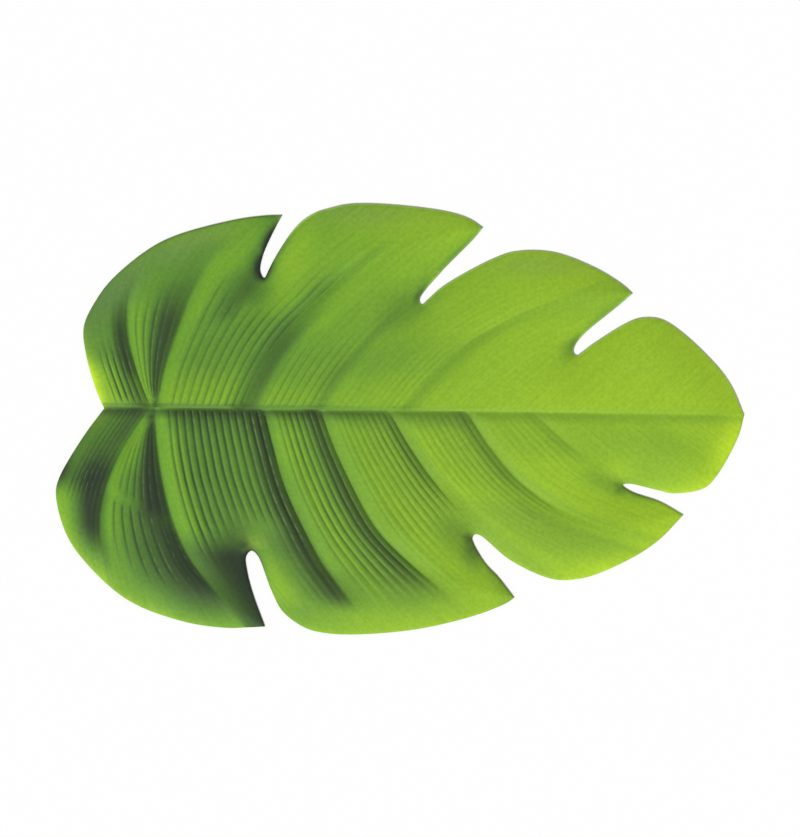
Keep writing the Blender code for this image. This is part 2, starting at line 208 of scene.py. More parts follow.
LOWER_HALF = Half(
    -1.0,
    [
        Vein([(0, 5), (20, -9), (40, -20), (60, -27), (100, -30)], 0.0, 0.0),
        Vein([(0, 30), (25, 14), (50, 3), (75, -1.5), (100, 1), (125, 6)], 2.6, 84.0),
        Vein([(0, 33), (25, 35), (50, 39.4), (75, 46.3), (100, 58.3), (125, 79)], 3.0, 112.0),
        Vein(
            [(0, 104.5), (25, 111), (50, 118.5), (75, 130), (100, 144), (125, 162.5)],
            3.0, 116.0,
        ),
        Vein(
            [(0, 141.5), (25, 151), (50, 163), (65, 171), (80, 181), (100, 201.5), (120, 226)],
            2.8, 108.0,
        ),
        Vein([(0, 186), (25, 201), (50, 219.5), (75, 243), (95, 264)], 2.2, 54.0),
        Vein([(0, 237), (25, 254), (50, 277.5), (65, 301), (75, 327), (80, 345)], 2.2, 66.0),
        Vein([(0, 280), (25, 308.5), (40, 328), (55, 365), (65, 400)], 1.0, 28.0),
        Vein([(0, 440), (80, 560)], 0.0, 0.0),
    ],
    [
        Ribs(8, 0.4, 0.0, 4.0),
        Ribs(8, 0.5, 0.1, 14.0),
        Ribs(15, 0.65, 0.08, 14.0),
        Ribs(9, 0.6, 0.15, 14.0),
        Ribs(11, 0.35, 0.12, 14.0),
        Ribs(11, 0.2, 0.12, 14.0),
        Ribs(9, 0.1, 0.1, 14.0),
        Ribs(26, 0.0, 0.0, 14.0),
    ],
)


def smooth_step(value, start, end):
    """0 up to start, 1 from end on, and an even rise between them."""
    share = np.clip((value - start) / (end - start), 0.0, 1.0)
    return share * share * (3.0 - 2.0 * share)


def smooth_run(points, step):
    """Points along a smooth curve through the given ones, without the last one."""
    given = [np.array(point, float) for point in points]
    ends = [2 * given[0] - given[1]] + given + [2 * given[-1] - given[-2]]
    drawn = []
    for before, start, end, after in zip(ends, ends[1:], ends[2:], ends[3:]):
        knots = [0.0]
        for first, second in ((before, start), (start, end), (end, after)):
            knots.append(knots[-1] + math.sqrt(np.linalg.norm(second - first)))
        count = max(2, math.ceil(np.linalg.norm(end - start) / step))
        for at in np.linspace(knots[1], knots[2], count, endpoint=False):
            drawn.append(curve_point((before, start, end, after), knots, at))
    return drawn


def between(first, second, share):
    """The value at a share of the way from the first to the second."""
    return first * (1.0 - share) + second * share


def curve_point(points, knots, at):
    """The point at the given parameter between the middle two of four points."""
    shares = {}
    for low, high in ((0, 1), (1, 2), (2, 3), (0, 2), (1, 3)):
        shares[low, high] = (at - knots[low]) / (knots[high] - knots[low])
    first = between(points[0], points[1], shares[0, 1])
    middle = between(points[1], points[2], shares[1, 2])
    last = between(points[2], points[3], shares[2, 3])
    early = between(first, middle, shares[0, 2])
    late = between(middle, last, shares[1, 3])
    return between(early, late, shares[1, 2])


def leaf_outline(step):
    """The outline as an array of points."""
    points = []
    for run in OUTLINE_RUNS:
        points += smooth_run(run, step)
    return np.array(points)


def margin_distance(points, outline):
    """How far each point is from the nearest part of the outline."""
    nearest = np.full(len(points), np.inf)
    for start, end in zip(outline, np.roll(outline, -1, axis=0)):
        span = end - start
        offset = points - start
        share = np.clip(offset @ span / (span @ span), 0.0, 1.0)
        gap = offset - share[:, None] * span
        nearest = np.minimum(nearest, (gap**2).sum(axis=1))
    return np.sqrt(nearest)


def inside(points, outline):
    """True for each point that lies within the outline."""
    crossings = np.zeros(len(points), int)
    for start, end in zip(outline, np.roll(outline, -1, axis=0)):
        if start[1] == end[1]:
            continue
        beside = (points[:, 1] > min(start[1], end[1])) & (points[:, 1] <= max(start[1], end[1]))
        slope = (end[0] - start[0]) / (end[1] - start[1])
        crossings += beside & (points[:, 0] < start[0] + (points[:, 1] - start[1]) * slope)
    return crossings % 2 == 1


def vein_along(way, away):
    """How far along the midrib a lateral vein is, at each distance away from it."""
    knots = np.array([point[0] for point in way], float)
    values = np.array([point[1] for point in way], float)
    slopes = np.gradient(values, knots)
    piece = np.clip(np.searchsorted(knots, away, side="right") - 1, 0, len(knots) - 2)
    span = knots[piece + 1] - knots[piece]
    share = (away - knots[piece]) / span
    over = np.maximum(share - 1.0, 0.0) * span
    share = np.minimum(share, 1.0)
    rest = 1.0 - share
    curve = values[piece] * (1.0 + 2.0 * share) * rest**2
    curve += values[piece + 1] * share**2 * (3.0 - 2.0 * share)
    curve += span * slopes[piece] * share * rest**2
    curve -= span * slopes[piece + 1] * share**2 * rest
    return curve + over * slopes[-1]


def vein_lean(way, away):
    """How much further along the midrib a lateral vein gets with each step away from it."""
    return (vein_along(way, away + SLOPE_STEP) - vein_along(way, away)) / SLOPE_STEP


def rib_room(pitch, lean):
    """0 where the ribs are too close together, or lie too far over, to stand up; else 1."""
    wide = smooth_step(pitch / np.sqrt(1.0 + lean**2), 0.5 * NARROWEST_RIB, NARROWEST_RIB)
    return wide * (1.0 - smooth_step(np.abs(lean), MOST_LEAN - LEAN_FADE, MOST_LEAN))


def sunk_depth(half, along, away):
    """How far the lateral veins of one half sink the blade at each point."""
    sunk = np.zeros(len(along))
    for vein in half.veins:
        if vein.depth == 0.0:
            continue
        gap = np.abs(along - vein_along(vein.way, away))
        gap /= np.sqrt(1.0 + vein_lean(vein.way, away) ** 2)
        slope = np.clip(1.0 - gap / VEIN_SLOPE_WIDTH, 0.0, 1.0) ** 2
        kept = 1.0 - smooth_step(away, vein.reach - VEIN_FADE, vein.reach + VEIN_FADE)
        sunk = np.maximum(sunk, vein.depth * slope * kept)
    return sunk


def rib_height(half, along, away, margin):
    """How high the ribs of one half stand at each point, apart from their feet."""
    height = np.zeros(len(along))
    for first, second, ribs in zip(half.veins, half.veins[1:], half.ribs):
        start = vein_along(first.way, away)
        width = np.maximum(vein_along(second.way, away) - start, SLOPE_STEP)
        share = (along - start) / width
        lean = between(vein_lean(first.way, away), vein_lean(second.way, away), share)
        shown = smooth_step(share, ribs.smooth, ribs.smooth + RIB_SIDE_FADE)
        shown = shown * rib_room(width / ribs.count, lean)
        shown = shown * smooth_step(margin, ribs.clear, RIB_MARGIN_RISE * ribs.clear)
        wave = 0.5 - 0.5 * np.cos(2.0 * math.pi * ribs.count * share)
        within = (share >= 0.0) & (share < 1.0)
        height = np.where(within, ribs.height * wave * shown, height)
    return height


def groove_depth(points):
    """How far the groove over the midrib sinks the blade at each point."""
    width = np.where(points[:, 1] >= 0.0, GROOVE_UPPER_WIDTH, GROOVE_LOWER_WIDTH)
    fade = smooth_step(points[:, 0], GROOVE_FADE_START, GROOVE_FADE_END)
    profile = np.clip(1.0 - np.abs(points[:, 1]) / width, 0.0, 1.0) ** GROOVE_CURVE
    return between(GROOVE_DEPTH, GROOVE_TIP_DEPTH, fade) * profile


def relief(points, outline):
    """(height of the upper face, height of the lower face) at each point."""
    along = points[:, 0]
    away = np.abs(points[:, 1])
    upper = points[:, 1] >= 0.0
    margin = margin_distance(points, outline)
    upper_sunk = sunk_depth(UPPER_HALF, along, away)
    sunk = np.where(upper, upper_sunk, sunk_depth(LOWER_HALF, along, away))
    upper_ribs = rib_height(UPPER_HALF, along, away, margin)
    ribs = np.where(upper, upper_ribs, rib_height(LOWER_HALF, along, away, margin))
    ribs = ribs * smooth_step(away, RIB_FOOT_START, RIB_FOOT_FULL)
    turn = 1.0 - (1.0 - np.clip(margin / MARGIN_TURN, 0.0, 1.0)) ** 2
    bulge = turn * (BULGE_HEIGHT - np.maximum(sunk, groove_depth(points)))
    rim = smooth_step(margin, 0.0, RIM_ROUNDING)
    top = BLADE_THICKNESS * (RIM_TOP + (1.0 - RIM_TOP) * rim) + bulge + ribs
    beside_keel = smooth_step(away, KEEL_HALF_WIDTH, KEEL_HALF_WIDTH + KEEL_FLANK)
    bottom = BLADE_THICKNESS * RIM_BOTTOM * (1.0 - rim) + (bulge + ribs) * beside_keel
    return top, bottom


def clear_of_margin(line, outline, least):
    """True for each point of a line that is inside the outline by at least this much."""
    kept = inside(line, outline)
    kept[kept] = margin_distance(line[kept], outline) > least
    return kept


def rib_lines(half, outline):
    """Points along each rib, from one foot over its crest to the next foot."""
    rows = np.arange(FIRST_ROW, LAST_ROW, RIB_STEP)
    drawn = []
    for first, second, ribs in zip(half.veins, half.veins[1:], half.ribs):
        start = vein_along(first.way, rows)
        width = vein_along(second.way, rows) - start
        for step in range(1, LINES_PER_RIB * ribs.count):
            share = step / (LINES_PER_RIB * ribs.count)
            line = np.column_stack([start + width * share, half.sign * rows])
            kept = rib_room(width / ribs.count, np.gradient(line[:, 0], rows)) > LEAST_RIB_ROOM
            kept &= clear_of_margin(line, outline, MARGIN_ROWS[-1] + RIB_MARGIN_GAP)
            drawn.append((line, kept))
    return drawn


def vein_lines(half, outline):
    """Points along the floor of each lateral vein."""
    drawn = []
    for vein in half.veins[1:-1]:
        rows = np.arange(FIRST_ROW, LAST_ROW, RIB_STEP)
        line = np.column_stack([vein_along(vein.way, rows), half.sign * rows])
        drawn.append((line, clear_of_margin(line, outline, MARGIN_ROWS[1])))
    return drawn


def midrib_lines(outline):
    """Points along the midrib, from its middle to the edges of the groove."""
    drawn = []
    start = MIDRIB_END_GAP
    end = outline[:, 0].max() - MIDRIB_END_GAP
    along = np.linspace(start, end, math.ceil((end - start) / RIB_STEP) + 1)
    for side in sorted({sign * side for side in MIDRIB_SIDES for sign in (1.0, -1.0)}):
        line = np.column_stack([along, np.full(len(along), side)])
        drawn.append((line, clear_of_margin(line, outline, MIDRIB_END_GAP)))
    return drawn


def margin_points(outline):
    """Rows of points that follow the outline inside it."""
    before = np.roll(outline, 1, axis=0)
    after = np.roll(outline, -1, axis=0)
    heading = after - before
    inward = np.column_stack([heading[:, 1], -heading[:, 0]])
    inward /= np.linalg.norm(inward, axis=1)[:, None]
    found = []
    for row in MARGIN_ROWS:
        points = outline + inward * row
        points = points[inside(points, outline)]
        found.append(points[margin_distance(points, outline) > MARGIN_ROW_KEEP * row])
    return np.vstack(found)


def open_points(outline):
    """An even spread of points for the smooth stretches."""
    low = outline.min(axis=0)
    high = outline.max(axis=0)
    points = []
    for row, side in enumerate(np.arange(low[1], high[1], OPEN_STEP * math.sqrt(0.75))):
        shift = 0.5 * OPEN_STEP * (row % 2)
        for along in np.arange(low[0] + shift, high[0], OPEN_STEP):
            points.append((along, side))
    points = np.array(points)
    points = points[inside(points, outline)]
    return points[margin_distance(points, outline) > MARGIN_ROWS[-1] + 0.5 * OPEN_STEP]


def spread_out(points, taken, least):
    """The points that are at least this far from the taken ones and from each other."""
    cells = {}
    for point in taken:
        cells.setdefault((int(point[0] // least), int(point[1] // least)), []).append(point)
    kept = []
    for point in points:
        column, row = int(point[0] // least), int(point[1] // least)
        near = []
        for step_x in (-1, 0, 1):
            for step_y in (-1, 0, 1):
                near += cells.get((column + step_x, row + step_y), [])
        if all((point[0] - x) ** 2 + (point[1] - y) ** 2 >= least**2 for x, y in near):
            kept.append(point)
            cells.setdefault((column, row), []).append(point)
    return kept


def leaf_plan(outline):
    """(points, triangles) of the leaf seen from above, with edges along the veins and ribs."""
    points = [tuple(point) for point in outline]
    edges = [(index, (index + 1) % len(points)) for index in range(len(points))]
    lines = midrib_lines(outline)
    for half in (UPPER_HALF, LOWER_HALF):
        lines += vein_lines(half, outline)
        lines += rib_lines(half, outline)
    for line, kept in lines:
        last = None
        for point, use in zip(line, kept):
            if not use:
                last = None
                continue
            points.append(tuple(point))
            if last is not None:
                edges.append((last, len(points) - 1))
            last = len(points) - 1
    points += spread_out(margin_points(outline), points, CLOSEST_MARGIN_POINTS)
    points += spread_out(open_points(outline), points, CLOSEST_OPEN_POINTS)
    flat = [Vector(point) for point in points]
    found = delaunay_2d_cdt(flat, edges, [], 1, MERGE_DISTANCE)
    return np.array([tuple(point) for point in found[0]]), [tuple(face) for face in found[2]]


# The colours, each as linear red, green and blue, and 1 for opaque. The deep and rib shades,
# the half-shade tint and the greyer green colour painted shade; the lime, crest and rim
# greens colour painted highlights and painted light
DEEP_SHADE = (0.026, 0.038, 0.026, 1.0)
RIB_SHADE = (0.04, 0.075, 0.024, 1.0)
BASE_GREEN = (0.163, 0.35, 0.029, 1.0)
TIP_GREEN = (0.283, 0.475, 0.026, 1.0)
LIME_GREEN = (0.47, 0.69, 0.028, 1.0)
HALF_SHADE_TINT = (0.89, 1.0, 1.2, 1.0)
CREST_HIGHLIGHT_GREEN = (0.19, 0.28, 0.09, 1.0)
GREY_SHADE_GREEN = (0.2, 0.3, 0.1, 1.0)
RIM_LIGHT_GREEN = (0.62, 0.9, 0.22, 1.0)
UNDERSIDE_GREEN = (0.27, 0.42, 0.12, 1.0)

# Between these distances along the midrib the base green goes over to the tip green
UPPER_TIP_GREEN = (90.0, 340.0)
LOWER_TIP_GREEN = (50.0, 290.0)

# At a vein the shade goes over by half; this is how that half falls off, per millimetre
EDGE_NEAR = 0.38
EDGE_NEAR_FALL = 1.1
EDGE_TAIL_FALL = 0.28

# A band's reach when it begins in the midrib
FROM_MIDRIB = (-2.0, -1.0)


class Band(NamedTuple):
    """Painted shade: a dark band painted between two veins, on a side of the blade that turns
    away from the light, deepening the shade that the relief casts. across tells where it
    begins, is full, is still full and has ended, in shares of the width between the veins;
    away tells the same in millimetres from the midrib. Past where it is full, slant moves it
    across a share more or less for each millimetre.
    """

    section: int
    strength: float
    across: tuple
    away: tuple
    slant: float = 0.0


# The painted shade between the veins of the upper half
UPPER_BANDS = [
    Band(0, 0.55, (0.3, 0.8, 2, 3), (*FROM_MIDRIB, 14, 28)),
    Band(0, 0.88, (0.42, 0.8, 2, 3), (12, 26, 46, 80)),
    Band(0, 0.36, (-1, -0.5, 2, 3), (20, 38, 56, 130)),
    Band(0, 0.3, (0.7, 1.0, 2, 3), (46, 60, 74, 92)),
    Band(1, 0.88, (0.22, 0.74, 2, 3), (*FROM_MIDRIB, 54, 98)),
    Band(1, 0.22, (-1, -0.5, 2, 3), (58, 80, 90, 118)),
    Band(1, 0.2, (0.4, 1.0, 2, 3), (62, 84, 98, 116)),
    Band(2, 0.22, (0, 0.25, 2, 3), (12, 34, 52, 68)),
    Band(2, 0.3, (0.8, 0.96, 2, 3), (*FROM_MIDRIB, 75, 100)),
    Band(2, 0.5, (0.1, 0.36, 0.39, 0.5), (50, 66, 84, 100)),
    Band(3, 0.6, (-1, -0.5, 0.13, 0.33), (*FROM_MIDRIB, 42, 76)),
    Band(3, 0.13, (0, 0.1, 2, 3), (8, 22, 38, 58)),
    Band(3, 0.18, (-1, -0.5, 0.08, 0.2), (54, 68, 98, 116)),
    Band(3, 0.1, (0.3, 0.6, 2, 3), (40, 55, 74, 92)),
    Band(3, 0.22, (0.8, 1.0, 2, 3), (*FROM_MIDRIB, 24, 40)),
    Band(4, 0.3, (-1, -0.5, 0.02, 0.16), (*FROM_MIDRIB, 52, 70)),
    Band(4, 0.08, (-1, -0.5, 2, 3), (16, 30, 38, 54)),
    Band(5, 0.2, (-1, -0.5, 0.06, 0.34), (*FROM_MIDRIB, 45, 75)),
    Band(5, 0.12, (-1, -0.5, 2, 3), (52, 70, 150, 160)),
]
# The painted shade between the veins of the lower half
LOWER_BANDS = [
    Band(0, 0.5, (-1, -0.5, 2, 3), (*FROM_MIDRIB, 44, 60)),
    Band(0, 0.96, (-0.08, 0.56, 2, 3), (16, 46, 76, 112), 0.0075),
    Band(0, 0.45, (0.35, 0.75, 2, 3), (*FROM_MIDRIB, 15, 34)),
    Band(1, 0.97, (0.38, 0.77, 2, 3), (*FROM_MIDRIB, 64, 88)),
    Band(1, 0.16, (-1, -0.5, 2, 3), (76, 94, 118, 140)),
    Band(1, 0.96, (0.3, 0.98, 2, 3), (60, 84, 114, 146)),
    Band(1, 0.36, (0.1, 0.46, 2, 3), (28, 50, 108, 126)),
    Band(1, 0.36, (-1, -0.5, 0.02, 0.14), (48, 62, 98, 112)),
    Band(2, 0.34, (0.14, 0.31, 2, 3), (*FROM_MIDRIB, 82, 100)),
    Band(2, 0.3, (0.06, 0.14, 2, 3), (*FROM_MIDRIB, 8, 20)),
    Band(2, 0.86, (0.72, 0.95, 2, 3), (-5, 11, 120, 134)),
    Band(2, 0.48, (0.54, 0.78, 2, 3), (74, 94, 118, 134)),
    Band(2, 0.94, (-0.26, 0.3, 0.42, 0.47), (76, 98, 160, 170), -0.002),
    Band(3, 0.3, (0.32, 0.72, 2, 3), (*FROM_MIDRIB, 110, 130)),
    Band(3, 0.66, (0.62, 0.84, 0.86, 1.2), (*FROM_MIDRIB, 92, 130)),
    Band(3, 0.14, (0.25, 0.45, 0.6, 0.8), (80, 98, 122, 140)),
    Band(3, 0.16, (-1, -0.5, 2, 3), (*FROM_MIDRIB, 8, 18)),
    Band(3, 0.14, (-1, -0.5, 0.2, 0.4), (30, 50, 112, 134)),
    Band(3, 0.18, (-1, -0.5, 2, 3), (98, 112, 120, 138)),
    Band(4, 0.12, (-1, -0.5, 0.15, 0.4), (8, 20, 110, 134)),
    Band(4, 0.15, (0.2, 0.7, 2, 3), (*FROM_MIDRIB, 52, 72)),
    Band(4, 0.48, (0.78, 0.96, 2, 3), (0, 12, 36, 58)),
    Band(4, 0.18, (-1, -0.5, 2, 3), (*FROM_MIDRIB, 7, 16)),
    Band(5, 0.14, (-1, -0.5, 0.1, 0.2), (8, 20, 160, 170)),
    Band(5, 0.18, (0.2, 0.8, 2, 3), (*FROM_MIDRIB, 58, 100)),
    Band(5, 0.2, (0.1, 0.3, 0.7, 0.9), (50, 68, 84, 104)),
    Band(5, 0.34, (0.74, 0.95, 2, 3), (*FROM_MIDRIB, 40, 64)),
    Band(5, 0.22, (-1, -0.5, 2, 3), (*FROM_MIDRIB, 7, 16)),
    Band(6, 0.12, (-1, -0.5, 0.1, 0.2), (*FROM_MIDRIB, 160, 170)),
    Band(6, 0.12, (0.05, 0.2, 2, 3), (*FROM_MIDRIB, 20, 36)),
    Band(6, 0.18, (0.75, 0.98, 2, 3), (*FROM_MIDRIB, 22, 38)),
    Band(7, 0.1, (-1, -0.5, 0.2, 0.4), (*FROM_MIDRIB, 160, 170)),
]

# How much softer than the sharpest the edge of the painted shade beside each vein is
UPPER_EDGE_SOFTNESS = (1.0, 1.0, 1.2, 1.0, 1.0, 1.0, 1.0, 1.0)
LOWER_EDGE_SOFTNESS = (1.0, 1.0, 1.0, 1.8, 1.9, 2.0, 1.9, 1.6, 1.0)


class RibPaint(NamedTuple):
    """How strongly the ribs between two veins are painted, with painted shade in their feet and
    on the slopes turned from the light and painted highlights on their crests: beside the
    first vein, in the middle and beside the second vein, and between which distances from
    the midrib they fade and begin.
    """

    first: float
    middle: float
    second: float
    fade: tuple
    begin: tuple = (0.5, 3.0)


# Across a section, the paint of its ribs goes over from first to middle, then to second
RIB_PAINT_FIRST = (0.15, 0.5)
RIB_PAINT_SECOND = (0.5, 0.85)

UPPER_RIB_PAINT = [
    RibPaint(1.1, 1.1, 0.7, (28, 46), (1, 7)),
    RibPaint(0.55, 0.75, 0.2, (55, 85)),
    RibPaint(0.52, 0.5, 0.62, (72, 98)),
    RibPaint(0.3, 0.34, 0.38, (30, 58)),
    RibPaint(0.12, 0.14, 0.2, (28, 52)),
    RibPaint(0.06, 0.05, 0.05, (28, 50)),
    RibPaint(0.03, 0.03, 0.03, (20, 40)),
]
LOWER_RIB_PAINT = [
    RibPaint(0.66, 0.66, 0.35, (48, 68)),
    RibPaint(0.42, 0.6, 0.2, (106, 122), (14, 30)),
    RibPaint(1.0, 0.95, 0.9, (82, 104)),
    RibPaint(0.35, 0.85, 0.8, (100, 118)),
    RibPaint(0.25, 0.38, 0.55, (70, 100)),
    RibPaint(0.12, 0.2, 0.28, (36, 72)),
    RibPaint(0.05, 0.08, 0.12, (20, 40)),
    RibPaint(0.03, 0.03, 0.03, (20, 40)),
]

# In the second section of the lower half the ribs break off and begin again, half a rib over
BROKEN_SECTION = 1
BREAK_NEAREST = 53.0
BREAK_SLANT = 20.0
BREAK_CLEAR = 1.5
BREAK_FULL = 6.0
BREAK_SHIFT = 0.5
BREAK_GAIN = 1.7


class Spot(NamedTuple):
    """A soft oval: its middle, its half length and half width, how far its length turns
    from the midrib in degrees, its strength, and how far it spreads from the margin if it
    follows it.
    """

    along: float
    side: float
    half_length: float
    half_width: float
    turn: float
    strength: float
    spread: float = 0.0


DARK_SPOTS = [
    # Painted shade at the notches of the upper half, where the blade turns down from the light
    Spot(100.0, 93.0, 13.0, 10.0, 86.0, 1.7, 5.5),
    Spot(107.0, 110.0, 15.0, 9.0, 64.0, 1.6, 5.0),
    Spot(229.0, 101.0, 26.0, 7.0, 47.0, 0.6, 3.0),
    Spot(206.0, 76.0, 10.0, 4.0, 52.0, 0.72),
    Spot(325.0, 61.0, 22.0, 7.0, 42.0, 0.5, 3.0),
    Spot(307.0, 45.0, 9.0, 3.5, 46.0, 0.55),
    Spot(98.0, 76.0, 14.0, 9.0, 60.0, 0.45),
    Spot(196.0, 66.0, 26.0, 10.0, 40.0, 0.34),
    Spot(205.0, 78.0, 14.0, 4.0, 62.0, 0.3),
    Spot(305.0, 42.0, 8.0, 5.0, 50.0, 0.4),
    # Elsewhere in the upper half
    Spot(182.0, 34.0, 30.0, 12.0, 30.0, 0.12),
    # Painted shade at the notches of the lower half, where the blade turns down from the light
    Spot(94.0, -101.0, 17.0, 10.0, -80.0, 1.5, 5.0),
    Spot(92.5, -89.5, 7.0, 5.0, -50.0, 0.88),
    Spot(239.5, -83.5, 8.0, 4.5, -45.0, 0.8),
    Spot(88.0, -96.0, 9.0, 7.0, -50.0, 0.5),
    Spot(89.0, -84.0, 13.0, 9.0, -60.0, 0.42),
    Spot(238.0, -92.0, 14.0, 9.0, -60.0, 1.2, 8.0),
    Spot(257.0, -110.0, 18.0, 8.0, -50.0, 0.5, 4.0),
    Spot(233.0, -80.0, 20.0, 12.0, -40.0, 0.42),
    Spot(336.0, -48.5, 9.0, 4.5, -14.0, 0.62),
    Spot(326.0, -44.0, 14.0, 6.0, -20.0, 0.26),
    Spot(348.0, -54.0, 16.0, 6.0, -20.0, 0.5, 3.0),
    # Elsewhere in the lower half
    Spot(366.0, -20.0, 26.0, 12.0, -20.0, 0.17),
    Spot(-27.0, -42.0, 10.0, 9.0, 60.0, 1.0, 6.0),
    Spot(136.0, -131.0, 32.0, 9.0, 8.0, 0.2),
    Spot(60.0, -126.0, 24.0, 12.0, -24.0, 0.28),
]
# Painted highlights: lime patches along the margins and at the notch ends, where the blade
# catches the light
LIME_HIGHLIGHTS = [
    Spot(412.0, -22.0, 28.0, 11.0, 65.0, 1.0),
    Spot(400.0, 32.0, 40.0, 8.0, -52.0, 0.4, 4.0),
    Spot(388.0, -49.0, 28.0, 14.0, 20.0, 1.0, 9.0),
    Spot(336.0, -88.0, 46.0, 16.0, 34.0, 0.8, 8.0),
    Spot(-7.0, 16.0, 24.0, 12.0, 105.0, 1.3, 4.0),
    Spot(99.0, -87.0, 8.0, 6.0, 0.0, 0.4),
    Spot(336.0, -38.0, 8.0, 7.0, 0.0, 0.4),
    Spot(10.0, -112.0, 76.0, 34.0, -42.0, 0.36, 6.0),
    Spot(190.0, -146.0, 70.0, 20.0, 6.0, 0.16, 5.0),
    Spot(118.0, -118.0, 22.0, 8.0, -60.0, 0.12),
    Spot(122.0, 98.0, 24.0, 12.0, 62.0, 0.2),
    Spot(205.0, 122.0, 50.0, 14.0, 0.0, 0.14),
]
# Painted shade: a greyer green along the upper margins, where they turn away from the light
GREY_SHADE_SPOTS = [
    Spot(6.0, 76.0, 40.0, 12.0, 48.0, 0.5),
    Spot(50.0, 106.0, 40.0, 10.0, 24.0, 0.42),
    Spot(170.0, 128.0, 40.0, 8.0, 0.0, 0.3),
    Spot(285.0, 96.0, 34.0, 7.0, 0.0, 0.25),
]

# Painted light: past the first lobe the margin of the upper half is painted a little paler,
# against the shade of its rounded edge and of its shadow on the floor
PALE_RIM = (0.3, 1.3)
PALE_RIM_STRENGTH = 0.75
PALE_RIM_START = (104.0, 122.0)

# The painted shade below the midrib, painted shade on the groove's upper wall, which damps
# the light it catches, and a lighter strip painted above it
SHADE_START = (0.0, 2.0)
SHADE_END = (2.6, 8.0)
SHADE_STRENGTH = (0.6, 0.15)
SHADE_FADE = (100.0, 250.0)
WALL_END = (2.2, 3.4)
WALL_STRENGTH = (0.42, 0.12)
WALL_FADE = (100.0, 260.0)
LIGHT_WIDTH = 22.0
LIGHT_STRENGTH = 0.12


def soft_spots(spots, plan, margin):
    """The strongest of some soft ovals at each point."""
    found = np.zeros(len(plan))
    for spot in spots:
        angle = math.radians(spot.turn)
        offset = plan - np.array([spot.along, spot.side])
        length = offset[:, 0] * math.cos(angle) + offset[:, 1] * math.sin(angle)
        width = offset[:, 1] * math.cos(angle) - offset[:, 0] * math.sin(angle)
        far = (length / spot.half_length) ** 2 + (width / spot.half_width) ** 2
        oval = spot.strength * np.exp(-far)
        if spot.spread:
            oval = oval * np.exp(-margin / spot.spread)
        found = np.maximum(found, oval)
    return np.minimum(found, 1.0)


def plateau(value, ends):
    """0 outside four ends, 1 between the middle two, and even slopes between."""
    return smooth_step(value, ends[0], ends[1]) * (1.0 - smooth_step(value, ends[2], ends[3]))


def band_shade(bands, index, share, away):
    """How much painted shade one section has at each point."""
    light = np.ones(len(share))
    for band in bands:
        if band.section == index:
            moved = share - band.slant * np.maximum(away - band.away[1], 0.0)
            amount = plateau(moved, band.across) * plateau(away, band.away)
            light = light * (1.0 - band.strength * amount)
    return 1.0 - light


def rib_strength(paint, share, away):
    """How strongly one section's ribs are painted at each point."""
    shown = between(paint.first, paint.middle, smooth_step(share, *RIB_PAINT_FIRST))
    shown = between(shown, paint.second, smooth_step(share, *RIB_PAINT_SECOND))
    return shown * smooth_step(away, *paint.begin) * (1.0 - smooth_step(away, *paint.fade))


def section_paint(half, bands, paints, softness, points, middles, margin, values):
    """Fills in the values of each section of one half. A triangle's middle tells which section
    it is in, so nothing is blurred across a vein.
    """
    away = half.sign * points[:, 1]
    middle_away = np.abs(middles[:, 1])
    first_rib = 0
    for index, (first, second, ribs) in enumerate(zip(half.veins, half.veins[1:], half.ribs)):
        last = index == len(half.ribs) - 1
        within = half.sign * middles[:, 1] >= 0.0
        if index:
            within &= middles[:, 0] >= vein_along(first.way, middle_away)
        if not last:
            within &= middles[:, 0] < vein_along(second.way, middle_away)
        along, far = points[within, 0], np.maximum(away[within], 0.0)
        start, end = vein_along(first.way, far), vein_along(second.way, far)
        width = np.maximum(end - start, SLOPE_STEP)
        share = (along - start) / width
        lean = between(vein_lean(first.way, far), vein_lean(second.way, far), share)
        slope = np.sqrt(1.0 + lean**2)
        values["from_vein"][within] = (along - start) / slope / softness[index]
        values["to_vein"][within] = (end - along) / slope / softness[index + 1]
        ground = band_shade(bands, index, share, far)
        values["ground"][within] = ground
        values["before"][within] = ground
        values["after"][within] = ground
        if index:
            values["before"][within] = band_shade(bands, index - 1, np.ones(len(share)), far)
        if not last:
            values["after"][within] = band_shade(bands, index + 1, np.zeros(len(share)), far)
        room = smooth_step(share, ribs.smooth, ribs.smooth + RIB_SIDE_FADE)
        room = room * rib_room(width / ribs.count, lean)
        room = room * smooth_step(margin[within], ribs.clear, RIB_MARGIN_RISE * ribs.clear)
        shown = rib_strength(paints[index], share, far) * room
        count = first_rib + ribs.count * share
        if half.sign < 0.0 and index == BROKEN_SECTION:
            past = far - (BREAK_NEAREST + BREAK_SLANT * share)
            count = count + np.where(past > 0.0, BREAK_SHIFT, 0.0)
            shown = shown * smooth_step(np.abs(past), BREAK_CLEAR, BREAK_FULL)
            shown = np.minimum(shown * np.where(past > 0.0, BREAK_GAIN, 1.0), 1.0)
        values["rib_count"][within] = count
        values["rib_shown"][within] = shown
        first_rib += ribs.count


